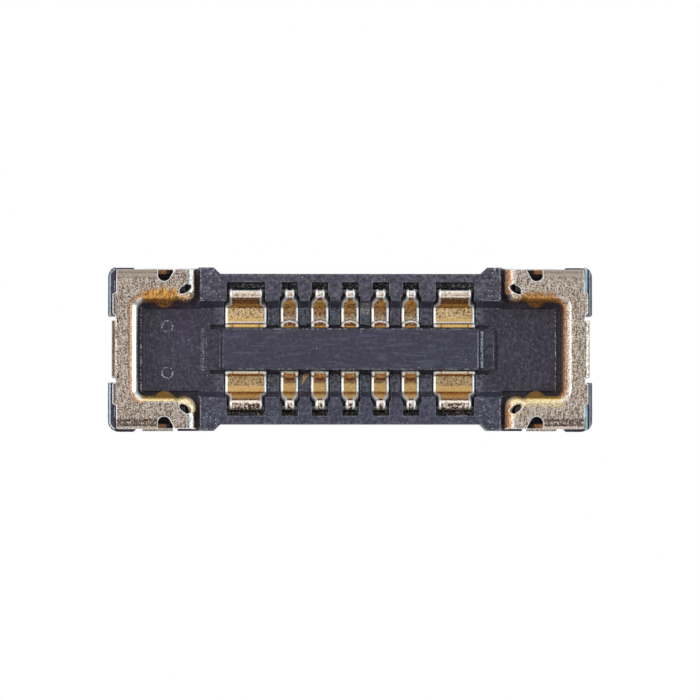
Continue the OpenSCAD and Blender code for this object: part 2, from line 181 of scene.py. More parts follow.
def soften(bm, width, angle, shortest):
    """Bevels the edges that are sharper than angle, and marks the new faces in the "edge" layer."""
    mark = bm.faces.layers.float.new("edge")
    limit = math.radians(angle)
    sharp = [
        e for e in bm.edges
        if len(e.link_faces) == 2 and e.calc_face_angle() > limit and e.calc_length() > shortest
    ]
    made = bmesh.ops.bevel(
        bm, geom=sharp, offset=width, offset_type="OFFSET", segments=2, profile=0.5,
        affect="EDGES", clamp_overlap=False, loop_slide=True,
    )
    for face in made["faces"]:
        face[mark] = 1


def baked(obj):
    """The object's mesh with its modifiers applied."""
    graph = bpy.context.evaluated_depsgraph_get()
    graph.update()
    mesh = bpy.data.meshes.new_from_object(obj.evaluated_get(graph))
    obj.modifiers.clear()
    obj.data = mesh
    return mesh


def settle(obj, smooth_angle):
    """Smooth shading between the sharp edges, then from millimetres to metres."""
    bm = bmesh.new()
    bm.from_mesh(obj.data)
    bmesh.ops.recalc_face_normals(bm, faces=bm.faces)
    limit = math.radians(smooth_angle)
    for face in bm.faces:
        face.smooth = True
    for edge in bm.edges:
        edge.smooth = len(edge.link_faces) != 2 or edge.calc_face_angle() < limit
    bm.to_mesh(obj.data)
    bm.free()
    obj.modifiers.new("even_shading", "WEIGHTED_NORMAL").keep_sharp = True
    mesh = baked(obj)
    for v in mesh.vertices:
        v.co *= MM
    mesh.update()


# Contacts


def strip_side_view(end):
    """Side view of a contact strip in row a, as (y, z) from its tail to its tip."""
    points = [
        (TAIL_Y, STRIP_T / 2), (LEG_Y, STRIP_T / 2), (LEG_Y, CROWN_Z),
        (LEG_Y - CROWN_W, CROWN_Z), (LEG_Y - CROWN_W - LEG_LEAN, SPRING_Z), *end,
    ]
    return resample(bent_path(points, [BEND_R, CROWN_R, CROWN_R, BEND_R, BEND_R]), STRIP_STEP)


def strip_widths(path, wide, neck, root, neck_y, taper):
    """Width of the strip at each point: root in the slot, neck over the wall, then the wide spring."""
    top = max(range(len(path)), key=lambda i: path[i].y)
    out = []
    for i, (y, z) in enumerate(path):
        if i < top:
            out.append(root + (neck - root) * smooth(z, ROOT_H - ROOT_TAPER, ROOT_H + ROOT_TAPER))
        else:
            out.append(wide + (neck - wide) * smooth(y, neck_y - taper, neck_y))
    return out


def ring(width, thick, columns):
    """Cross-section of a strip with rounded edges, as (across, through) pairs."""
    size = thick / STRIP_T
    rx, ry = EDGE_W * size, EDGE_R * size
    a, b = width / 2 - rx, thick / 2 - ry
    half = [(2 * a * k / columns - a, b + ry) for k in range(columns)]
    for middle, start in ((b, 90), (-b, 0)):
        for k in range(EDGE_STEPS):
            t = math.radians(start - 90 * k / EDGE_STEPS)
            half.append((a + rx * math.cos(t), middle + ry * math.sin(t)))
    return half + [(-u, -v) for u, v in half]


def strip_mesh(path, widths, bow, columns):
    """Sweeps a rounded strip along the path. bow(i) moves its outer side along the normal at point i."""
    last = len(path) - 1
    stations = []
    for i, p in enumerate(path):
        d = unit(path[min(i + 1, last)] - path[max(i - 1, 0)])
        stations.append((p, d, widths[i], STRIP_T, bow(i)))
    # Rounded ends: a few rings that shrink towards each end
    for end, sign in ((0, -1), (-1, 1)):
        p, d, w, t, b = stations[end]
        base = p - d * sign * EDGE_R
        rounded = []
        for k in range(EDGE_STEPS):
            a = math.radians(90 * k / EDGE_STEPS)
            grow = EDGE_R * math.sin(a)
            shrink = EDGE_R * (1 - math.cos(a))
            rounded.append((base + d * sign * grow, d, w - 2 * shrink, t - 2 * shrink, b))
        keep = [s for s in stations if (s[0] - p).length > EDGE_R + 1e-6]
        stations = rounded[::-1] + keep if end == 0 else keep + rounded
    verts, faces, edge, tip = [], [], [], []
    for p, d, w, t, b in stations:
        normal = Vector((-d.y, d.x))
        rounding = smooth(t / STRIP_T, *TIP_MARK_IN) * smooth(t / STRIP_T, *TIP_MARK_OUT)
        for u, v in ring(w, t, columns):
            out = p + normal * (v + b * (1 - (2 * u / w) ** 2) * (0.5 - v / STRIP_T))
            verts.append(Vector((u, out.x, out.y)))
            edge.append(smooth(abs(u), w / 2 - EDGE_W, w / 2 - EDGE_MARK * EDGE_W))
            tip.append(rounding if v < 0 else 0)
    count = 2 * (columns + 2 * EDGE_STEPS)
    for s in range(len(stations) - 1):
        for k in range(count):
            a, b = s * count + k, s * count + (k + 1) % count
            faces.append((a, b, b + count, a + count))
    # Flat ends, cut across their width
    mirror = 2 * (columns + EDGE_STEPS)
    for i in range(-EDGE_STEPS, columns + EDGE_STEPS):
        across = [k % count for k in (i, i + 1, mirror - i - 1, mirror - i)]
        cut = list(dict.fromkeys(across))
        faces.append(tuple(reversed(cut)))
        faces.append(tuple(k + len(verts) - count for k in cut))
    return verts, faces, {"edge": edge, "tip": tip}


def signal_strip():
    """Mesh of one signal contact: its tip is bowed away from the island."""
    path = strip_side_view([(TIP_Y + TIP_FOOT_BACK, SPRING_Z), (TIP_Y - TIP_END_IN, TIP_H)])
    widths = strip_widths(path, SIGNAL_W, SIGNAL_NECK_W, SIGNAL_ROOT_W, SIGNAL_NECK_Y, SIGNAL_TAPER)

    def bow(i):
        y, z = path[i]
        return -TIP_BOW * smooth(z, SPRING_Z, SPRING_Z + BOW_RISE) if y < BOW_END_Y else 0

    return strip_mesh(path, widths, bow, 10)


def power_strip():
    """Mesh of one power contact: its tip is straight."""
    path = strip_side_view([(TIP_Y, SPRING_Z), (TIP_Y, TIP_H)])
    widths = strip_widths(path, POWER_W, POWER_NECK_W, POWER_ROOT_W, POWER_NECK_Y, POWER_TAPER)
    return strip_mesh(path, widths, lambda i: 0, 6)


def place_contact(name, node, form, x, row):
    """One contact, moved along its row, and mirrored where it is in row b."""
    verts, faces, marks = form
    side = 1 if row == "a" else -1
    moved = [Vector((v.x + x, v.y * side, v.z)) for v in verts]
    obj = add_mesh(name, moved, faces)
    for key, values in marks.items():
        obj.data.attributes.new(key, "FLOAT", "POINT").data.foreach_set("value", values)
    settle(obj, smooth_angle=35)
    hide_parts(node)
    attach(obj, "root")
    return obj


def build_contacts():
    """All contacts of both rows."""
    out = []
    signal, power = signal_strip(), power_strip()
    for row in "ab":
        for i in range(SIGNALS):
            seat, x = f"{row}{i + 1}", (i - (SIGNALS - 1) / 2) * PITCH
            out.append(place_contact(f"signal_spring_{seat}", f"signal_contact_{seat}", signal, x, row))
        for i in range(2):
            seat = f"{row}{i + 1}"
            lo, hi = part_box(f"power_contact_{seat}")
            x = (lo.x + hi.x) / 2 / MM
            out.append(place_contact(f"power_spring_{seat}", f"power_contact_{seat}", power, x, row))
    return out


# End fittings


def round_profile(r, steps=8):
    """Roll of an even radius, as (distance from the face, depth) from the flat down."""
    angles = [math.radians(90 * k / steps) for k in range(steps + 1)]
    return [(r - r * math.sin(a), r - r * math.cos(a)) for a in angles]


def facet_profile():
    """Roll with a slanted flat between two bends, with as many points as a round one."""
    tilt, upper_r, flat, lower_r = math.radians(34), 0.04, 0.053, 0.031
    points = [(0, 0)]
    for k in range(1, 4):
        a = tilt * k / 3
        points.append((upper_r * math.sin(a), upper_r - upper_r * math.cos(a)))
    x, drop = points[-1]
    x, drop = x + flat * math.cos(tilt), drop + flat * math.sin(tilt)
    points.append((x, drop))
    for k in range(1, 5):
        a = tilt + (math.pi / 2 - tilt) * k / 4
        points.append((
            x + lower_r * (math.sin(a) - math.sin(tilt)),
            drop + lower_r * (math.cos(tilt) - math.cos(a)),
        ))
    return [(points[-1][0] - p[0], p[1]) for p in points]


def blend_profiles(a, b, t):
    """Profile a where t is 0, and b where it is 1."""
    return [(p[0] + (q[0] - p[0]) * t, p[1] + (q[1] - p[1]) * t) for p, q in zip(a, b)]


def cut_profile(profile, reach):
    """The part of a profile within reach of the face, with the same number of points."""
    def depth(x):
        for (x0, z0), (x1, z1) in zip(profile, profile[1:]):
            if x1 <= x <= x0:
                return z0 + (z1 - z0) * (x0 - x) / max(x0 - x1, 1e-9)
        return profile[-1][1]

    steps = len(profile) - 1
    distances = [reach * (1 - k / steps) ** 2 for k in range(steps)]
    return [(x, depth(x)) for x in distances] + [profile[-1]]


def hole_reach(at, normal):
    """How far in from the face, along one column, the relief hole begins. None where it isn't met."""
    v = at - HOLE_AT
    u0, u1 = v.dot(HOLE_ALONG) / HOLE_L, -normal.dot(HOLE_ALONG) / HOLE_L
    w0, w1 = v.dot(HOLE_ACROSS) / HOLE_W, -normal.dot(HOLE_ACROSS) / HOLE_W
    a, b, c = u1 * u1 + w1 * w1, u0 * u1 + w0 * w1, u0 * u0 + w0 * w0 - 1
    root = b * b - a * c
    if root <= 0:
        return None
    reach = (-b - math.sqrt(root)) / a
    return reach if 0 < reach < ROLL_R else None


class Sheet:
    """Builds the middle surface of a folded sheet, point by point."""

    def __init__(self):
        self.verts, self.faces = [], []

    def point(self, x, y, z):
        """Adds a point and gives its number."""
        self.verts.append(Vector((x, y, z)))
        return len(self.verts) - 1

    def column(self, at, normal, profile, bottom, bulge=None, reach=None, steps=8):
        """Points of a rolled edge at one place, from its flat rim down.

        reach is how far in from the face a hole begins. The rim's point is then left out,
        and None stands for it.
        """
        out = []
        if reach is None:
            out.append(self.point(*(at - normal * (profile[0][0] + FLAT_RIM)), PLATE_Z))
        else:
            out.append(None)
            profile = cut_profile(profile, reach)
        for x, drop in profile:
            out.append(self.point(*(at - normal * x), PLATE_Z - drop))
        low = PLATE_Z - profile[-1][1]
        for k in range(1, steps + 1):
            z = low + (bottom - low) * k / steps
            q = at + normal * (bulge(at.x, z) if bulge else 0)
            out.append(self.point(*q, z))
        return out

    def join(self, a, b):
        """Faces between two neighbouring columns."""
        for k in range(min(len(a), len(b)) - 1):
            corners = [a[k], a[k + 1], b[k + 1], b[k]]
            if None not in corners:
                self.faces.append(tuple(corners))

    def join_all(self, columns):
        """Faces between each column and the next."""
        for a, b in zip(columns, columns[1:]):
            self.join(a, b)


def bump(x, z):
    """How far the pressed bump stands out of a spring wall."""
    d = math.hypot(x - BUMP_X, z - BUMP_Z) / BUMP_R
    return BUMP_OUT * (1 - d * d) ** BUMP_POWER if d < 1 else 0


def dip(x):
    """How far an arm's inner edge stands back between its bump and its free corner."""
    return DIP * smooth(x, *DIP_IN) * smooth(x, *DIP_OUT)


def spread(lo, hi, step):
    """Evenly spaced values from lo to hi."""
    n = max(1, round(abs(hi - lo) / step))
    return [lo + (hi - lo) * i / n for i in range(n + 1)]


def rim_stations():
    """Places, normals, lower ends and profiles of the inner roll, from the bar's middle to an arm's end."""
    half = SHEET_T / 2
    turn = Vector((OPENING_X - OPENING_R, OPENING_Y - OPENING_R))
    free = Vector((ARM_X + ARM_FREE_R, OPENING_Y + ARM_FREE_R))
    facet, even = facet_profile(), round_profile(ROLL_R)
    inwards, towards_middle = Vector((-1, 0)), Vector((0, -1))
    turn_steps, free_steps, bar_step, arm_step = 12, 18, 0.05, 0.014
    out = []
    for y in spread(0, turn.y, bar_step)[:-1]:
        out.append((Vector((OPENING_X + half, y)), inwards, SKIRT_Z, facet))
    for k, d in enumerate(arc((0, 0), 1, 0, 90, turn_steps)):
        profile = blend_profiles(facet, even, smooth(k / turn_steps, 0.3, 1))
        out.append((turn + d * (OPENING_R + half), -d, SKIRT_Z, profile))
    for x in spread(turn.x, free.x, arm_step)[1:-1]:
        out.append((Vector((x, OPENING_Y + half + dip(x))), towards_middle, SKIRT_Z, even))
    for k, d in enumerate(arc((0, 0), 1, 270, 180, free_steps)):
        low = SKIRT_Z + (ARM_Z - SKIRT_Z) * smooth(k / free_steps, 0.05, 0.5)
        out.append((free + d * (ARM_FREE_R - half), d, low, even))
    for y in spread(free.y, SIDE_Y, arm_step)[1:]:
        out.append((Vector((ARM_X + half, y)), inwards, ARM_Z, even))
    return out


def inner_rim(sheet):
    """Adds the inner roll and the relief hole's far side, and gives the rim of the plate's flat."""
    columns = []
    for at, normal, low, profile in rim_stations():
        bulge = bump if abs(normal.x) < 0.01 else None
        columns.append(sheet.column(at, normal, profile, low, bulge, hole_reach(at, normal)))
    sheet.join_all(columns)
    far_side = []
    for q in arc((0, 0), 1, 12, 112, 7):
        p = HOLE_AT + HOLE_ALONG * HOLE_L * q.x + HOLE_ACROSS * HOLE_W * q.y
        far_side.append(sheet.point(*p, PLATE_Z))
    rim = []
    for i, c in enumerate(columns):
        if c[0] is None:
            continue
        if i > 0 and columns[i - 1][0] is None:
            rim += [c[1], c[0]]
        elif i + 1 < len(columns) and columns[i + 1][0] is None:
            rim += [c[0], c[1], *far_side]
        else:
            rim.append(c[0])
    return rim


def side_leg(sheet):
    """Adds an arm's rolled side with its solder leg and foot, and gives the rim of the plate's flat."""
    half = SHEET_T / 2
    face_y = SIDE_Y - half
    lower = [Vector((face_y, z)) for z in (0.17, 0.12)]
    lower += arc((face_y + FOOT_BEND_R, half + FOOT_BEND_R), FOOT_BEND_R, 180, 270, 5)
    lower += [Vector((FOOT_Y, half))]
    profile, outwards = round_profile(SIDE_ROLL_R), Vector((0, 1))
    leg_step, side_step = 0.03, 0.04
    xs = spread(SIDE_START_X, LEG_OUT_X, leg_step) + spread(LEG_OUT_X, BAR_X, side_step)[1:]
    columns = [sheet.column(Vector((x, face_y)), outwards, profile, SIDE_Z) for x in xs]
    sheet.join_all(columns)
    tails = []
    for x, column in zip(xs, columns):
        if x <= LEG_OUT_X + 1e-6:
            tails.append([column[-1]] + [sheet.point(x, *p) for p in lower])
    sheet.join_all(tails)
    # Free part of the leg, which shows through the notch. Its last column is cut one point lower
    first = columns[0][len(profile):]
    zs = [sheet.verts[i].z for i in first]
    previous = first + tails[0][1:]
    for x in spread(SIDE_START_X, LEG_IN_X, leg_step)[1:]:
        top = 1 if x > LEG_IN_X + LEG_CUT else 2
        column = [None] * top + [sheet.point(x, face_y, z) for z in zs[top:]]
        column += [sheet.point(x, *p) for p in lower]
        sheet.join(previous, column)
        previous = column
    return [c[0] for c in columns]


def end_edge(sheet, apron_x):
    """Bar's outer edge from the rolled side to the middle line: tab, small step and apron."""
    tab = [(0, 0.655), (TAB_OUT, 0.635), (TAB_OUT, 0.4), (STEP_OUT, 0.39), (STEP_OUT, 0.352)]
    out = [sheet.point(BAR_X + over, y, PLATE_Z) for over, y in tab]
    profile, outwards = round_profile(APRON_ROLL_R), Vector((1, 0))
    face_x, step = apron_x - SHEET_T / 2, 0.05
    places = [Vector((face_x, y)) for y in spread(APRON_Y, 0, step)]
    columns = [sheet.column(at, outwards, profile, APRON_Z) for at in places]
    sheet.join_all(columns)
    return out + [columns[0][1]] + [c[0] for c in columns]


def fitting_surface(apron_x):
    """Middle surface of a right-hand fitting, both arms."""
    sheet = Sheet()
    loop = inner_rim(sheet)
    arm_y = sheet.verts[loop[-1]].y
    notch = [Vector((NOTCH_MOUTH_X, arm_y))] + arc(NOTCH_AT, NOTCH_R, 212, 360, 14)[:-1]
    loop += [sheet.point(*p, PLATE_Z) for p in notch]
    loop += side_leg(sheet) + end_edge(sheet, apron_x)
    sheet.faces.append(tuple(loop))
    # Mirror image for the other arm
    count = len(sheet.verts)
    verts = sheet.verts + [Vector((v.x, -v.y, v.z)) for v in sheet.verts]
    faces = sheet.faces + [tuple(reversed([i + count for i in f])) for f in sheet.faces]
    return verts, faces


def build_fitting(name, node, side, apron_x):
    """One end fitting: side is 1 at the right end and -1 at the left end."""
    verts, faces = fitting_surface(apron_x)
    obj = add_mesh(name, [(v.x * side, v.y, v.z) for v in verts], faces)
    bm = bmesh.new()
    bm.from_mesh(obj.data)
    bmesh.ops.remove_doubles(bm, verts=bm.verts, dist=1e-4)
    bmesh.ops.recalc_face_normals(bm, faces=bm.faces)
    bm.to_mesh(obj.data)
    solid = obj.modifiers.new("thickness", "SOLIDIFY")
    solid.thickness = SHEET_T
    solid.offset = 0
    solid.use_even_offset = True
    mesh = baked(obj)
    bm.clear()
    bm.from_mesh(mesh)
    soften(bm, width=0.009, angle=50, shortest=0)
    for v in bm.verts:
        v.co.z = min(max(v.co.z, 0), PLATE_Z + SHEET_T / 2)
    bm.to_mesh(mesh)
    bm.free()
    settle(obj, smooth_angle=40)
    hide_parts(node)
    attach(obj, "root")
    return obj


# Housing


def build_housing():
    """The moulded housing, with its edges softened."""
    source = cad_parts["housing"]
    mesh = source.data.copy()
    mesh.transform(Matrix.Scale(1 / MM, 4))
    bm = bmesh.new()
    bm.from_mesh(mesh)
    bmesh.ops.remove_doubles(bm, verts=bm.verts, dist=2e-4)
    bmesh.ops.dissolve_limit(bm, angle_limit=math.radians(0.6), verts=bm.verts, edges=bm.edges)
    soften(bm, width=0.006, angle=32, shortest=0.018)
    bm.to_mesh(mesh)
    bm.free()
    obj = add_object("moulded_housing", mesh)
    settle(obj, smooth_angle=40)
    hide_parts("housing")
    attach(obj, "root")
    return obj


# Materials

# The mix node has a set of sockets for each kind of data. These are the colours' ones
COLOUR_A, COLOUR_B, COLOUR_OUT = 6, 7, 2
WHITE = (1, 1, 1)


class Recipe:
    """A material's node tree, with short calls for the textures and sums it mixes."""

    def __init__(self, name):
        self.mat = bpy.data.materials.new(name)
        self.mat.use_nodes = True
        self.nodes, self.links = self.mat.node_tree.nodes, self.mat.node_tree.links
        self.shader = self.nodes["Principled BSDF"]
        place = self.add("ShaderNodeTexCoord").outputs["Object"]
        scaled = self.add("ShaderNodeVectorMath", {"operation": "SCALE"}, Vector=place, Scale=1 / MM)
        self.mm = scaled.outputs[0]
        self.x, self.y, self.z = self.add("ShaderNodeSeparateXYZ", Vector=self.mm).outputs
        # Distances from the part's two middle planes
        self.along, self.across = self.absolute(self.x), self.absolute(self.y)

    def put(self, value, socket):
        """Gives a socket a number, a colour or another node's output."""
        if hasattr(value, "is_output"):
            self.links.new(value, socket)
        elif isinstance(value, tuple) and len(value) == 3 and socket.type == "RGBA":
            socket.default_value = (*value, 1)
        else:
            socket.default_value = value

    def add(self, kind, settings=None, **values):
        """A new node, with its settings and the values of its sockets by name."""
        node = self.nodes.new(kind)
        for name, value in (settings or {}).items():
            setattr(node, name, value)
        for name, value in values.items():
            self.put(value, node.inputs[name.replace("_", " ")])
        return node

    def noise(self, scale, detail, rough, stretch=None, seed=0):
        """Noise over the part in millimetres: about 0 to 1."""
        place = self.mm
        if stretch:
            node = self.add("ShaderNodeVectorMath", {"operation": "MULTIPLY"}, Vector=place)
            self.put(stretch, node.inputs[1])
            place = node.outputs[0]
        node = self.add(
            "ShaderNodeTexNoise", {"noise_dimensions": "4D"},
            Vector=place, W=seed, Scale=scale, Detail=detail, Roughness=rough,
        )
        return node.outputs["Fac"]

    def dots(self, scale, size, seed=0):
        """Sparse round dots: 1 inside a dot and 0 outside."""
        settings = {"voronoi_dimensions": "4D"}
        node = self.add("ShaderNodeTexVoronoi", settings, Vector=self.mm, W=seed, Scale=scale)
        return self.ramp(node.outputs["Distance"], size, size * 0.6)

    def ramp(self, value, lo, hi, to_lo=0, to_hi=1):
        """Value carried from lo..hi to to_lo..to_hi along an S-curve, held at both ends."""
        if hi < lo:
            lo, hi, to_lo, to_hi = hi, lo, to_hi, to_lo
        node = self.add(
            "ShaderNodeMapRange", {"interpolation_type": "SMOOTHSTEP"},
            Value=value, From_Min=lo, From_Max=hi, To_Min=to_lo, To_Max=to_hi,
        )
        return node.outputs["Result"]

    def band(self, value, lo, hi, soft):
        """1 between lo and hi, and down to 0 within soft of them."""
        return self.times(self.ramp(value, lo - soft, lo), self.ramp(value, hi + soft, hi))

    def mark(self, name):
        """A number kept on the mesh."""
        return self.add("ShaderNodeAttribute", {"attribute_name": name}).outputs["Fac"]

    def mix(self, fac, a, b):
        """Colour a where fac is 0, and b where it is 1."""
        node = self.add("ShaderNodeMix", {"data_type": "RGBA"})
        self.put(fac, node.inputs[0])
        self.put(a, node.inputs[COLOUR_A])
        self.put(b, node.inputs[COLOUR_B])
        return node.outputs[COLOUR_OUT]

    def math(self, operation, *values):
        """The result of one sum, or of a chain of sums on three or more numbers."""
        node = self.add("ShaderNodeMath", {"operation": operation})
        for value, socket in zip(values[:2], node.inputs):
            self.put(value, socket)
        rest = values[2:]
        return self.math(operation, node.outputs[0], *rest) if rest else node.outputs[0]

    def times(self, *values):
        """The product of the numbers."""
        return self.math("MULTIPLY", *values)

    def plus(self, *values):
        """The sum of the numbers."""
        return self.math("ADD", *values)

    def most(self, *values):
        """The largest of the numbers."""
        return self.math("MAXIMUM", *values)

    def minus(self, a, b):
        """a without b."""
        return self.math("SUBTRACT", a, b)

    def rest(self, value):
        """What is left of 1."""
        return self.minus(1, value)

    def absolute(self, value):
        """The size of a number without its sign."""
        return self.math("ABSOLUTE", value)

    def distance(self, a, b):
        """The length of the slope over two sides."""
        return self.math("SQRT", self.plus(self.times(a, a), self.times(b, b)))

    def mix_values(self, fac, a, b):
        """Number a where fac is 0, and b where it is 1."""
        return self.plus(self.times(a, self.rest(fac)), self.times(b, fac))

    def paint(self, where, colour, strength=None):
        """Lays a colour over what the recipe has so far."""
        fac = self.times(where, strength) if strength else where
        self.colour = self.mix(fac, self.colour, colour)

    def bumps(self, *layers):
        """Normal for a surface raised by each height in turn, with its depth in millimetres."""
        normal = None
        for height, depth in layers:
            node = self.add("ShaderNodeBump", Distance=depth * MM, Height=height)
            if normal is not None:
                self.put(normal, node.inputs["Normal"])
            normal = node.outputs["Normal"]
        return normal

    def finish(self, **values):
        """Sets the shader's sockets by name."""
        for name, value in values.items():
            self.put(value, self.shader.inputs[name.replace("_", " ")])
        return self.mat


def contact_flats(r):
    """Spring flats. The wide power springs are brighter than the signal springs."""
    patch = r.noise(9, 2, 0.5, seed=5)
    dull = r.mix(r.ramp(r.coarse, 0.42, 0.56), (0.06, 0.03, 0.012), (0.55, 0.37, 0.2))
    bright = r.mix(r.ramp(r.coarse, 0.4, 0.54), (0.17, 0.085, 0.025), (0.9, 0.66, 0.36))
    r.colour = r.mix(r.wide, dull, bright)
    r.paint(r.near, (0.28, 0.17, 0.075), 0.45)
    r.paint(r.ramp(patch, 0.5, 0.75, 0, 0.4), (0.25, 0.13, 0.05))
    r.paint(r.ramp(r.fine, 0.57, 0.68, 0, 0.8), (1, 0.9, 0.7))
    # Golden stretches: beside the near row's legs, and beside the tips of the far power contacts
    by_leg, by_wide_leg = r.band(r.across, 0.4, 0.49, 0.02), r.band(r.across, 0.43, 0.49, 0.02)
    sheen = r.times(r.near, r.mix_values(r.wide, r.times(by_leg, 0.8), by_wide_leg))
    sheen = r.most(sheen, r.times(r.far, r.wide, r.ramp(r.across, 0.4, 0.34)))
    r.paint(sheen, (0.85, 0.55, 0.2), 0.75)
    # Far signal springs are brown beside their legs and greyer beside their tips
    r.paint(r.times(r.far, r.narrow, r.ramp(r.across, 0.38, 0.43)), (0.24, 0.1, 0.03), 0.55)
    r.paint(r.times(r.far, r.narrow, r.ramp(r.across, 0.4, 0.36)), (0.62, 0.54, 0.44), 0.4)
    # Near signal springs are brown beside their tips
    r.paint(r.times(r.near, r.narrow, r.ramp(r.across, 0.385, 0.365)), (0.25, 0.09, 0.03), 0.65)


def contact_legs(r):
    """Inner legs: dark brown in the far power contacts, a painted shade, and golden elsewhere, with painted
    fine highlights. Gives where they are.
    """
    where = r.times(r.band(r.z, 0.18, 0.425, 0.012), r.ramp(r.across, 0.42, 0.46))
    # Painted shade: the upper part of the far power legs, which face away from the light, is dark brown
    upper = r.mix(r.wide, (1, 0.5, 0.11), (0.17, 0.045, 0.006))
    far_leg_shading = r.mix(r.ramp(r.z, 0.27, 0.31), (0.8, 0.42, 0.1), upper)
    near_leg = r.mix(r.ramp(r.z, 0.24, 0.29), (0.5, 0.2, 0.035), (0.95, 0.62, 0.26))
    legs = r.mix(r.far, near_leg, far_leg_shading)
    dark, light = r.ramp(r.wide, 0, 1, 0.2, 0.85), r.ramp(r.wide, 0, 1, 0.35, 0.12)
    legs = r.mix(r.ramp(r.coarse, 0.52, 0.6, 0, 0.6), legs, (0.92, 0.52, 0.18))
    legs = r.mix(r.times(r.ramp(r.coarse, 0.46, 0.38), dark), legs, (0.1, 0.04, 0.01))
    # Painted highlights: fine pale flecks, strongest on the signal legs
    legs = r.mix(r.times(r.ramp(r.fine, 0.54, 0.62), light), legs, (1, 0.7, 0.34))
    mottle, far_narrow = r.noise(30, 2, 0.6, seed=17), r.times(r.far, r.narrow)
    legs = r.mix(r.times(far_narrow, r.ramp(mottle, 0.51, 0.55, 0, 0.9)), legs, (1, 0.52, 0.15))
    legs = r.mix(r.times(far_narrow, r.ramp(mottle, 0.465, 0.425, 0, 0.9)), legs, (0.1, 0.022, 0.003))
    r.paint(where, legs)
    return where


def contact_crowns(r):
    """Crowns, painted pale on top as a highlight. The far row's outer sides get a painted grey-blue
    reflection, and the near row's outer sides are mottled brown, a painted shade.
    """
    crown_shading = r.mix(r.ramp(r.coarse, 0.36, 0.56), (0.52, 0.38, 0.27), (1, 0.85, 0.71))
    # Painted grey-blue reflection on the far row's outer sides
    crown_shading = r.mix(r.ramp(r.y, 0.662, 0.676), crown_shading, (0.3, 0.36, 0.43))
    mottled = r.mix(r.ramp(r.coarse, 0.48, 0.57), (0.07, 0.03, 0.02), (0.92, 0.76, 0.66))
    # Painted shade: mottled brown on the near row's outer sides
    crown_shading = r.mix(r.ramp(r.y, -0.618, -0.632), crown_shading, mottled)
    r.paint(r.ramp(r.z, 0.425, 0.455), crown_shading)


def contact_tips(r):
    """Tips seen from above, in painted light and shade: dark brown shade towards the wall and bright towards
    the island on the far row, and a pale highlight towards the island over brown shade on the near row. Gives
    where they are.
    """
    where = r.times(r.ramp(r.across, 0.335, 0.32), r.ramp(r.z, 0.24, 0.28))
    # Painted shade and light on the far tips
    far_tip_shading = r.mix(r.ramp(r.across, 0.276, 0.268), (0.2, 0.065, 0.01), (1, 0.5, 0.14))
    far_tip_shading = r.mix(r.times(r.wide, r.ramp(r.across, 0.296, 0.288)), far_tip_shading, (0.95, 0.6, 0.22))
    # Painted highlight and shade on the near tips
    near_tip_shading = r.mix(r.ramp(r.across, 0.283, 0.273), (0.4, 0.15, 0.03), (1, 0.93, 0.78))
    tips = r.mix(r.far, near_tip_shading, far_tip_shading)
    r.paint(where, r.mix(r.ramp(r.coarse, 0.52, 0.6, 0, 0.45), tips, (0.98, 0.7, 0.36)))
    return where


def contact_edges(r, tips):
    """Painted highlights along the edges, with a thin brown line inside them. Gives where the highlights are.
    """
    edge = r.mark("edge")
    r.paint(r.band(edge, 0.08, 0.3, 0.07), (0.12, 0.05, 0.015), 0.6)
    # Painted shadow: a brown band on the crowned faces of the far power tips
    r.paint(r.times(r.far, r.wide, r.band(r.across, 0.29, 0.305, 0.006)), (0.2, 0.08, 0.02))
    # Painted highlight at the foot of the far power tips
    bend_highlight = r.times(r.far, r.wide, r.band(r.across, 0.312, 0.324, 0.006), r.ramp(r.z, 0.24, 0.21))
    # Painted highlights along the edges and on the rims of the far signal tips
    rim = r.most(r.times(r.ramp(edge, 0.3, 0.6), r.rest(tips)), r.ramp(edge, 0.8, 1))
    where = r.most(rim, r.times(r.mark("tip"), r.far, r.narrow), r.times(bend_highlight, 0.8))
    r.paint(where, r.mix(r.ramp(r.coarse, 0.38, 0.46), (0.86, 0.82, 0.78), WHITE))
    return where


def contact_material():
    """Gold plating over stamped copper alloy, with a coarse grain, painted highlights along its edges, and
    painted light and shade on its legs, crowns and tips.
    """
    r = Recipe("contact_gold")
    r.far, r.wide = r.ramp(r.y, -0.1, 0.1), r.ramp(r.along, 0.84, 0.9)
    r.near, r.narrow = r.rest(r.far), r.rest(r.wide)
    r.fine, r.coarse = r.noise(80, 2, 0.6), r.noise(36, 3, 0.75, seed=3)
    contact_flats(r)
    legs = contact_legs(r)
    contact_crowns(r)
    tips = contact_tips(r)
    # Painted highlights along the edges
    edges = contact_edges(r, tips)
    outer_side = r.ramp(r.y, -0.62, -0.65)
    matt = r.most(
        r.times(edges, 0.45), r.times(legs, r.mix_values(r.narrow, 0.45, 0.8)),
        r.times(tips, 0.6), r.times(outer_side, 0.55),
    )
    return r.finish(
        Base_Color=r.colour, Metallic=r.rest(matt), Specular_IOR_Level=0.2,
        Roughness=r.ramp(r.coarse, 0.3, 0.7, 0.2, 0.38),
        Normal=r.bumps((r.coarse, 0.002), (r.fine, 0.0012)),
    )


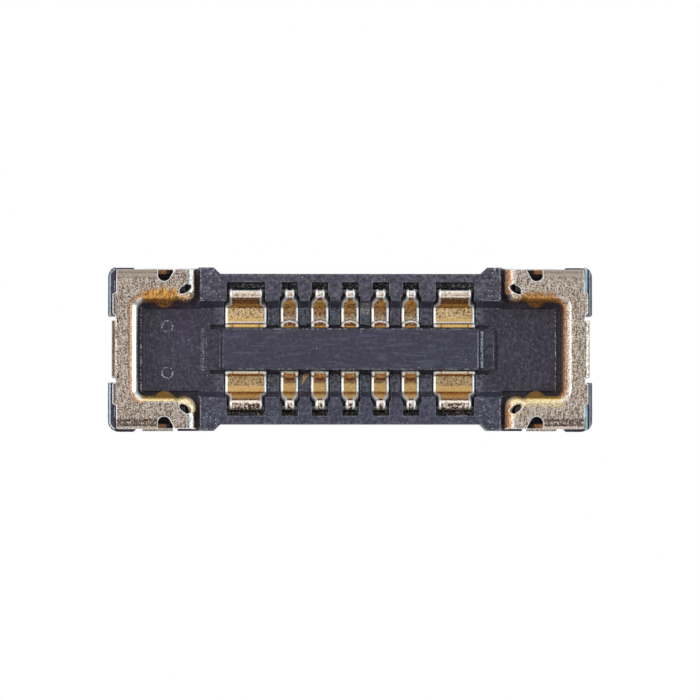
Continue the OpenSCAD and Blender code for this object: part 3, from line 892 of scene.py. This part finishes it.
def fitting_grain(r):
    """Grain of the whole sheet, and a painted shade that makes it a little darker at the left end."""
    r.colour = r.mix(r.ramp(r.coarse, 0.38, 0.6), (0.17, 0.11, 0.08), (0.78, 0.66, 0.55))
    r.paint(r.ramp(r.drawn, 0.54, 0.64, 0, 0.7), (0.14, 0.085, 0.06))
    r.paint(r.ramp(r.drawn, 0.46, 0.37, 0, 0.5), (0.95, 0.88, 0.8))
    r.paint(r.ramp(r.fine, 0.57, 0.67, 0, 0.8), (1, 0.98, 0.95))
    # Painted shade: a little darker towards the left end
    r.paint(r.ramp(r.x, 0, -1, 0, 0.14), (0.05, 0.03, 0.02))
    # Long rolled sides in painted shade: smooth grey-brown on the far side, dark grain on the near one
    rolled = r.ramp(r.along, 2.15, 2.25)
    far_roll_shade = r.times(r.ramp(r.y, 0.8, 0.84), rolled)
    near_roll_shade = r.times(r.ramp(r.y, -0.79, -0.82), r.ramp(r.y, -0.9, -0.88), rolled)
    r.paint(far_roll_shade, (0.31, 0.25, 0.205), 0.8)
    r.paint(r.times(near_roll_shade, r.ramp(r.coarse, 0.58, 0.5, 0.1, 0.75)), (0.075, 0.037, 0.027))
    # Painted shade keeps the left apron's roll as dull as the plate
    r.paint(r.ramp(r.x, -2.695, -2.71), (0.1, 0.075, 0.06), 0.65)


def fitting_gold(r):
    """Gold plating of the spring walls, painted with the light: wide and shaded brown on the far arms, whose
    walls face away from the light, and only a narrow lip with a painted highlight on the near ones, whose lit
    walls stay pale. Gives where it is.
    """
    ragged = r.times(r.minus(r.noise(14, 3, 0.65, seed=7), 0.5), 0.2)
    off_middle = r.minus(r.along, 2.15)
    dome = r.plus(r.y, ragged, r.times(off_middle, off_middle, 0.8), r.times(r.right, 0.045))
    wide = r.times(r.ramp(dome, 0.74, 0.66), r.ramp(r.y, 0.3, 0.4))
    near = r.ramp(r.y, -0.3, -0.4)
    low = r.plus(r.y, r.ramp(r.along, 2, 1.93, 0, 0.12))
    lip = r.times(r.ramp(low, -0.61, -0.59), near)
    wash = r.times(r.ramp(r.plus(low, ragged), -0.71, -0.62), near, r.right, 0.6)
    where = r.times(r.most(wide, lip, wash), r.ramp(r.along, 2.5, 2.42))
    gold = r.mix(r.ramp(r.drawn, 0.38, 0.6), (0.28, 0.08, 0.008), (0.92, 0.48, 0.11))
    gold = r.mix(r.ramp(r.coarse, 0.44, 0.36, 0, 0.6), gold, (0.2, 0.06, 0.008))
    # Painted shade: the far walls turn dark brown on their lower part
    shade = r.mix(r.ramp(r.coarse, 0.4, 0.6), (0.07, 0.02, 0.006), (0.62, 0.26, 0.045))
    gold = r.mix(r.ramp(r.y, 0.6, 0.55), gold, shade)
    gold = r.mix(r.times(r.right, 0.4), gold, (0.3, 0.13, 0.03))
    # Painted highlight on the near lip, darker gold-brown towards the middle
    near_lip_shading = r.mix(r.ramp(r.y, -0.585, -0.56), (1, 0.78, 0.36), (0.46, 0.25, 0.045))
    near_lip_shading = r.mix(r.ramp(r.coarse, 0.46, 0.38, 0, 0.6), near_lip_shading, (0.3, 0.13, 0.02))
    gold = r.mix(r.ramp(r.y, 0, -0.1), gold, near_lip_shading)
    r.paint(where, r.mix(r.ramp(r.fine, 0.58, 0.7, 0, 0.7), gold, (1, 0.86, 0.55)))
    return where


def fitting_holes(r):
    """Painted pale highlights round the relief holes."""
    from_hole = r.distance(r.minus(r.along, 1.9), r.minus(r.across, 0.665))
    hole_highlight = r.times(r.band(from_hole, 0.03, 0.1, 0.02), r.ramp(r.coarse, 0.5, 0.56))
    r.paint(r.times(hole_highlight, r.ramp(r.across, 0.72, 0.66)), (1, 0.92, 0.8), 0.85)


def fitting_lines(r):
    """Painted orange reflections and white highlights along the bar's inner roll and the arm ends. Gives the
    orange ones.
    """
    bar = r.ramp(r.along, 2.36, 2.42)
    from_rim = r.distance(r.most(r.minus(r.along, 2.37), 0), r.most(r.minus(r.across, 0.46), 0))
    left_reflection, right_reflection = r.band(from_rim, 0.148, 0.17, 0.008), r.band(from_rim, 0.086, 0.12, 0.01)
    arm_reflection = r.times(r.band(r.x, 1.78, 1.845, 0.01), r.ramp(r.across, 0.6, 0.66))
    line = r.most(r.times(r.mix_values(r.right, left_reflection, right_reflection), bar), arm_reflection)
    left_highlight, right_highlight = r.band(from_rim, 0.082, 0.135, 0.008), r.band(from_rim, 0.135, 0.165, 0.01)
    arm_highlight = r.most(r.band(r.x, -1.885, -1.82, 0.01), r.band(r.x, 1.87, 1.905, 0.01))
    white = r.times(r.mix_values(r.right, left_highlight, right_highlight), bar)
    white = r.most(white, r.times(arm_highlight, r.ramp(r.across, 0.72, 0.78)))
    orange = r.mix(r.ramp(r.coarse, 0.4, 0.6), (0.42, 0.15, 0.05), (0.85, 0.48, 0.27))
    # Painted orange reflections
    r.paint(line, orange, 0.85)
    left_bar_highlight = r.times(left_highlight, bar, r.rest(r.right), 0.7)
    # Painted white highlights, smooth on the left bar
    r.paint(r.times(white, r.most(left_bar_highlight, r.ramp(r.coarse, 0.4, 0.6, 0.2, 0.45))), (0.95, 0.98, 0.98))
    return line


def fitting_notches(r):
    """Brown on the solder legs where they show in the notches, and near black, a painted shade, towards the
    part's middle. Gives where it is.
    """
    where = r.times(r.band(r.along, 2, 2.213, 0.004), r.band(r.across, 0.78, 0.912, 0.006))
    where = r.times(where, r.band(r.z, 0.36, 0.48, 0.02))
    # Painted shade: near black towards the part's middle
    notch_colour_and_shade = r.mix(r.ramp(r.along, 2.11, 2.14), (0.012, 0.008, 0.008), (0.4, 0.17, 0.055))
    r.paint(where, r.mix(r.ramp(r.coarse, 0.4, 0.6, 0, 0.5), notch_colour_and_shade, (0.02, 0.01, 0.006)))
    return where


def fitting_material():
    """Pale flashed nickel with a coarse grain, turning gold along the spring walls, with painted highlights,
    reflections and shade.
    """
    r = Recipe("fitting_metal")
    r.right = r.ramp(r.x, -1, 1)
    r.fine, r.coarse = r.noise(85, 2, 0.6), r.noise(54, 2, 0.65, seed=2)
    r.drawn = r.noise(60, 2, 0.55, stretch=(1, 0.22, 1), seed=4)
    fitting_grain(r)
    gold = fitting_gold(r)
    fitting_holes(r)
    line = fitting_lines(r)
    edge = r.mark("edge")
    # Painted highlights on the softened edges
    r.paint(edge, (0.97, 0.98, 0.98), 0.8)
    notch = fitting_notches(r)
    matt = r.most(r.times(edge, 0.6), r.times(r.most(gold, line), 0.5), r.times(notch, 0.6))
    return r.finish(
        Base_Color=r.colour, Metallic=r.rest(matt), Roughness=r.ramp(r.coarse, 0.3, 0.7, 0.18, 0.34),
        Normal=r.bumps((r.coarse, 0.0014), (r.fine, 0.001), (r.drawn, 0.001)),
    )


def housing_grain(r):
    """Grit and clouds all over, and streaks along the rows and across the ends."""
    cloud = r.noise(2.6, 3, 0.5, seed=1)
    brushed = r.noise(34, 2, 0.55, stretch=(1, 0.12, 1), seed=11)
    r.colour = r.mix(r.ramp(r.fine, 0.36, 0.64), (0.007, 0.007, 0.018), (0.048, 0.045, 0.083))
    r.paint(r.ramp(cloud, 0.42, 0.62, 0, 0.5), (0.05, 0.027, 0.075))
    r.paint(r.ramp(r.grit, 0.52, 0.66, 0, 0.7), (0.13, 0.13, 0.175))
    r.paint(r.ramp(r.grit, 0.46, 0.36, 0, 0.8), (0.004, 0.004, 0.012))
    island = r.times(r.ramp(r.across, 0.24, 0.23), r.ramp(r.along, 1.5, 1.45))
    r.paint(island, (0.031, 0.028, 0.053), 0.5)
    rows, ends = r.ramp(r.along, 1.75, 1.65), r.ramp(r.along, 1.7, 1.8)
    r.paint(r.times(r.ramp(r.streak, 0.52, 0.64, 0, 0.45), rows), (0.09, 0.09, 0.135))
    r.paint(r.times(r.ramp(brushed, 0.52, 0.64, 0, 0.4), ends), (0.085, 0.08, 0.13))


def housing_places(r):
    """Groove, wall tops and shoulder line, each in its own tone, and painted light in the left trench."""
    # The groove beside the contacts is paler and more uneven
    groove = r.times(r.band(r.across, 0.3, 0.49, 0.02), r.ramp(r.along, 1.6, 1.5), r.ramp(r.z, 0.25, 0.2))
    r.paint(r.times(groove, r.ramp(r.grit, 0.44, 0.56, 0.05, 0.9)), (0.145, 0.155, 0.2))
    r.paint(r.times(groove, r.ramp(r.grit, 0.45, 0.39, 0, 0.85)), (0.006, 0.008, 0.02))
    r.paint(r.times(groove, r.ramp(r.fine, 0.57, 0.64, 0, 0.6)), (0.26, 0.3, 0.38))
    # The tops of the walls are a little paler
    top = r.times(r.ramp(r.z, 0.48, 0.495), r.ramp(r.grit, 0.45, 0.6, 0.03, 0.4))
    r.paint(top, r.mix(r.ramp(r.y, -0.1, 0.1), (0.1, 0.12, 0.165), (0.17, 0.16, 0.18)))
    # Painted light: the left trench is paler beside the floor, against its shade
    trench = r.times(r.band(r.x, -2.43, -2.38, 0.006), r.ramp(r.across, 0.5, 0.48))
    r.paint(trench, (0.13, 0.13, 0.18), 0.7)
    # A brown line where the left shoulders end
    seam = r.times(r.band(r.x, -1.772, -1.752, 0.006), r.ramp(r.across, 0.52, 0.56))
    r.paint(seam, (0.13, 0.05, 0.03), 0.8)


def housing_edges(r):
    """Where the softened edges show: not down on the floor, nor under the rolled sides."""
    upper = r.most(r.ramp(r.z, 0.18, 0.22), r.ramp(r.along, 1.75, 1.7))
    hidden = r.times(r.band(r.along, 1.95, 2.26, 0.01), r.ramp(r.across, 0.74, 0.77))
    by_island = r.times(r.band(r.along, 1.44, 1.74, 0.01), r.ramp(r.across, 0.3, 0.28))
    by_wall = r.times(r.ramp(r.across, 0.5, 0.54), r.ramp(r.along, 1.66, 1.62))
    faint = r.times(r.most(by_island, by_wall), 0.65)
    return r.times(r.mark("edge"), upper, r.rest(hidden), r.rest(faint))


def housing_glints(r, edges):
    """Glints: dotted along edges, round the mould marks and over the island's ends. Gives the dots."""
    from_mark = r.distance(r.plus(r.x, 2.115), r.minus(r.across, 0.2675))
    outline = r.times(r.band(from_mark, 0.056, 0.07, 0.006), r.ramp(r.x, -1.9, -2), 0.9)
    floor_end = r.times(r.band(r.x, 2.38, 2.395, 0.004), r.ramp(r.across, 0.5, 0.48))
    by_slots = r.times(r.band(r.across, 0.68, 0.79, 0.01), r.ramp(r.along, 1.64, 1.6), r.ramp(r.z, 0.4, 0.46))
    dotted = r.ramp(r.noise(40, 2, 0.6, seed=9), 0.5, 0.57)
    dotted = r.most(dotted, r.times(by_slots, r.ramp(r.grit, 0.49, 0.55)))
    r.paint(r.times(r.most(edges, outline, floor_end), dotted), (0.6, 0.62, 0.68), 0.9)
    # Painted glints on rough grain in columns over the island's ends and its left step, sparser on the left
    right_columns = r.most(r.band(r.x, 1.508, 1.54, 0.005), r.times(r.band(r.x, 1.468, 1.48, 0.004), 0.5))
    left_column = r.times(r.band(r.x, -1.512, -1.49, 0.005), 0.45)
    island_ends = r.times(r.most(right_columns, left_column), r.ramp(r.across, 0.215, 0.205))
    step = r.times(r.band(r.x, -1.715, -1.685, 0.005), r.ramp(r.across, 0.25, 0.24), 0.9)
    grains = r.noise(80, 1, 0.5, seed=14)
    sown = r.mix_values(r.ramp(r.x, -1, 1), r.ramp(grains, 0.54, 0.6, 0, 0.8), r.ramp(grains, 0.46, 0.54))
    r.paint(r.times(r.most(island_ends, step), sown), (0.68, 0.78, 0.84))
    return dotted


def housing_posts(r, edges):
    """Painted highlights: pale lines inside the outlines of the corner posts."""
    post_x, post_y = r.most(r.minus(r.along, 2.675), 0), r.most(r.minus(r.across, 0.83), 0)
    inside = r.minus(0.12, r.distance(post_x, post_y))
    left_post_highlight = r.times(r.band(inside, 0.017, 0.029, 0.007), r.ramp(r.x, -2.7, -2.72))
    left_post_highlight = r.times(left_post_highlight, r.ramp(r.y, -0.3, 0.3, 1, 0.55))
    right_post_highlight = r.times(r.band(r.x, 2.698, 2.732, 0.006), r.ramp(r.across, 0.39, 0.42))
    grainy = r.ramp(r.grit, 0.36, 0.5, 0.35, 1)
    post_highlight = r.times(r.most(left_post_highlight, right_post_highlight), r.ramp(r.z, 0.3, 0.36), grainy)
    post_highlight = r.most(post_highlight, r.times(edges, r.ramp(r.along, 2.7, 2.72), 0.5))
    r.paint(post_highlight, (0.6, 0.78, 0.86), 0.9)


def housing_specks(r, dotted):
    """Pale specks on the shoulders, painted glints in the slots, at the shoulders and at the left end, and
    painted shade below the relief holes.
    """
    shoulder = r.times(r.ramp(r.along, 1.45, 1.52), r.ramp(r.along, 1.78, 1.76), r.ramp(r.across, 0.5, 0.56))
    specks = r.most(r.times(r.dots(38, 0.29), shoulder), r.times(r.dots(16, 0.13, 2), 0.8))
    r.paint(specks, (0.6, 0.62, 0.66), 0.85)
    # Painted glints in the slots
    slots = r.times(r.band(r.across, 0.7, 0.765, 0.01), r.ramp(r.along, 1.6, 1.5), r.ramp(r.z, 0.45, 0.4))
    r.paint(r.times(r.ramp(r.noise(52, 2, 0.6, seed=15), 0.53, 0.58), slots), WHITE)
    shine = r.times(r.band(r.along, 1.724, 1.738, 0.005), r.ramp(r.across, 0.56, 0.6))
    r.paint(r.times(shine, r.ramp(r.z, 0.47, 0.49), 0.55, dotted), (0.5, 0.6, 0.7))
    r.paint(r.times(r.band(r.x, -2.424, -2.41, 0.004), r.ramp(r.across, 0.5, 0.48), dotted), WHITE)
    # Painted shade: the plastic below the fittings' relief holes is almost black
    shade_below_holes = r.times(r.band(r.along, 1.84, 1.97, 0.02), r.band(r.across, 0.62, 0.75, 0.02))
    r.paint(shade_below_holes, (0.004, 0.004, 0.006), 0.85)


def housing_flaws(r):
    """Two small flaws: a sliver of gold beside a near contact, and a pale patch beside a far one."""
    lean = r.absolute(r.minus(r.plus(r.x, 0.527), r.times(r.plus(r.y, 0.335), 0.42)))
    taper = r.times(r.plus(r.y, 0.41), 0.26)
    sliver = r.times(r.ramp(r.minus(lean, taper), 0.004, -0.002), r.band(r.y, -0.4, -0.275, 0.004))
    r.paint(sliver, r.mix(r.ramp(r.fine, 0.44, 0.54), (0.16, 0.06, 0.01), (1, 0.68, 0.24)))
    patchy = r.ramp(r.noise(60, 2, 0.6, seed=16), 0.5, 0.56)
    patch = r.times(r.band(r.x, 0.13, 0.23, 0.01), r.band(r.y, 0.42, 0.53, 0.01), patchy)
    r.paint(patch, (0.62, 0.6, 0.52), 0.9)


def housing_material():
    """Dark slate moulded plastic: grit, faint streaks, painted glints along its edges and a few pale specks,
    with painted light in the left trench and painted shade below the relief holes.
    """
    r = Recipe("housing_plastic")
    r.fine, r.grit = r.noise(70, 3, 0.65), r.noise(31, 3, 0.7, seed=8)
    r.streak = r.noise(32, 2, 0.55, stretch=(0.12, 1, 1), seed=6)
    housing_grain(r)
    housing_places(r)
    edges = housing_edges(r)
    dotted = housing_glints(r, edges)
    housing_posts(r, edges)
    housing_specks(r, dotted)
    housing_flaws(r)
    return r.finish(
        Base_Color=r.colour, Roughness=r.ramp(r.fine, 0.3, 0.7, 0.3, 0.52), Specular_IOR_Level=0.5,
        Normal=r.bumps((r.fine, 0.002), (r.grit, 0.002), (r.streak, 0.0012)),
    )


def floor_material():
    """White to the camera and in reflections, and matt where the part stands on it."""
    r = Recipe("floor_white")
    r.finish(Base_Color=(0.8, 0.8, 0.8), Roughness=0.9)
    legs = r.times(r.band(r.along, 1.95, 2.3, 0.01), r.ramp(r.across, 0.9, 0.89))
    under = r.most(r.times(r.ramp(r.along, 2.62, 2.6), r.ramp(r.across, 0.86, 0.84)), legs)
    rays = r.add("ShaderNodeLightPath").outputs
    seen = r.plus(rays["Is Camera Ray"], rays["Is Glossy Ray"])
    seen = r.times(r.math("MINIMUM", seen, 1), r.rest(under))
    glow = r.add("ShaderNodeEmission", Strength=1)
    both = r.add("ShaderNodeMixShader")
    for output, socket in zip((seen, r.shader.outputs[0], glow.outputs[0]), both.inputs):
        r.put(output, socket)
    r.put(both.outputs[0], r.nodes["Material Output"].inputs["Surface"])
    return r.mat


# Stage


def build_stage():
    """A plain white floor, a hair under the part. Its sizes are in metres."""
    half, drop = 1.5, 0.000002
    corners = [(-half, -half, 0), (half, -half, 0), (half, half, 0), (-half, half, 0)]
    floor = add_mesh("floor", corners, [(0, 1, 2, 3)])
    floor.location.z = -drop
    floor.data.materials.append(floor_material())


def soft_box(name, towards, elevation, size, radiance, colour, distance=0.3):
    """A soft box seen from the part towards a compass angle (0 is +X, 90 is +Y) and elevation.

    Its size is the pair of angles that it fills, and its distance is in metres.
    """
    a, e = math.radians(towards), math.radians(elevation)
    place = Vector((math.cos(a) * math.cos(e), math.sin(a) * math.cos(e), math.sin(e))) * distance
    data = bpy.data.lights.new(name, "AREA")
    data.shape = "RECTANGLE"
    data.size, data.size_y = (2 * distance * math.tan(math.radians(s / 2)) for s in size)
    data.energy = radiance * math.pi * data.size * data.size_y
    data.color = colour
    obj = add_object(name, data)
    obj.location = place
    up = "X" if elevation > 85 else "Y"
    obj.rotation_mode = "QUATERNION"
    obj.rotation_quaternion = (-place).to_track_quat("-Z", up)


def build_lights():
    """Soft boxes round the part in a dim studio that is brighter towards the far side."""
    soft_box("top_box", 90, 90, (34, 34), 0.45, WHITE)
    soft_box("far_box", 90, 38, (100, 50), 0.8, (0.9, 0.95, 1))
    soft_box("left_box", 180, 52, (36, 50), 1.7, (1, 0.98, 0.95))
    soft_box("right_box", 0, 22, (36, 60), 1.8, (0.82, 0.95, 1))
    soft_box("near_box", 270, 38, (80, 40), 0.9, WHITE)
    world = bpy.data.worlds.new("studio")
    world.use_nodes = True
    nodes, links = world.node_tree.nodes, world.node_tree.links
    place = nodes.new("ShaderNodeTexCoord")
    split = nodes.new("ShaderNodeSeparateXYZ")
    tone = nodes.new("ShaderNodeMapRange")
    for socket, value in {"From Min": -0.7, "From Max": 0.9, "To Min": 0.06, "To Max": 0.5}.items():
        tone.inputs[socket].default_value = value
    links.new(place.outputs["Generated"], split.inputs[0])
    links.new(split.outputs["Y"], tone.inputs["Value"])
    links.new(tone.outputs["Result"], nodes["Background"].inputs["Color"])
    bpy.context.scene.world = world


def build_camera():
    """Looks almost straight down on the mating side, with +Y up in the picture."""
    data = bpy.data.cameras.new("camera")
    frame_w, distance = 8.074, 60
    data.sensor_width = 36
    data.lens = data.sensor_width * distance / frame_w
    data.clip_start, data.clip_end = 0.002, 2
    cam = add_object("camera", data)
    aim = Vector((-0.0035, -0.009, 0.4))
    lean_x, lean_y = math.radians(1.2), math.radians(1.6)
    away = Vector((-math.sin(lean_x), -math.sin(lean_y), 1)).normalized()
    cam.location = (aim + away * distance) * MM
    across = Vector((0, 1, 0)).cross(away).normalized()
    cam.rotation_mode = "QUATERNION"
    cam.rotation_quaternion = Matrix((across, away.cross(across), away)).transposed().to_quaternion()
    bpy.context.scene.camera = cam


def assign(obj, mat):
    """Gives the whole object one material."""
    obj.data.materials.clear()
    obj.data.materials.append(mat)


bpy.context.scene.view_settings.view_transform = "Standard"
build_camera()
build_stage()
build_lights()

gold, nickel, plastic = contact_material(), fitting_material(), housing_material()
for contact in build_contacts():
    assign(contact, gold)
assign(build_fitting("folded_fitting_right", "end_fitting_right", 1, RIGHT_APRON_X), nickel)
assign(build_fitting("folded_fitting_left", "end_fitting_left", -1, LEFT_APRON_X), nickel)
assign(build_housing(), plastic)
for name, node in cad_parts.items():
    assign(node, nickel if name.startswith("end_fitting") else plastic if name == "housing" else gold)
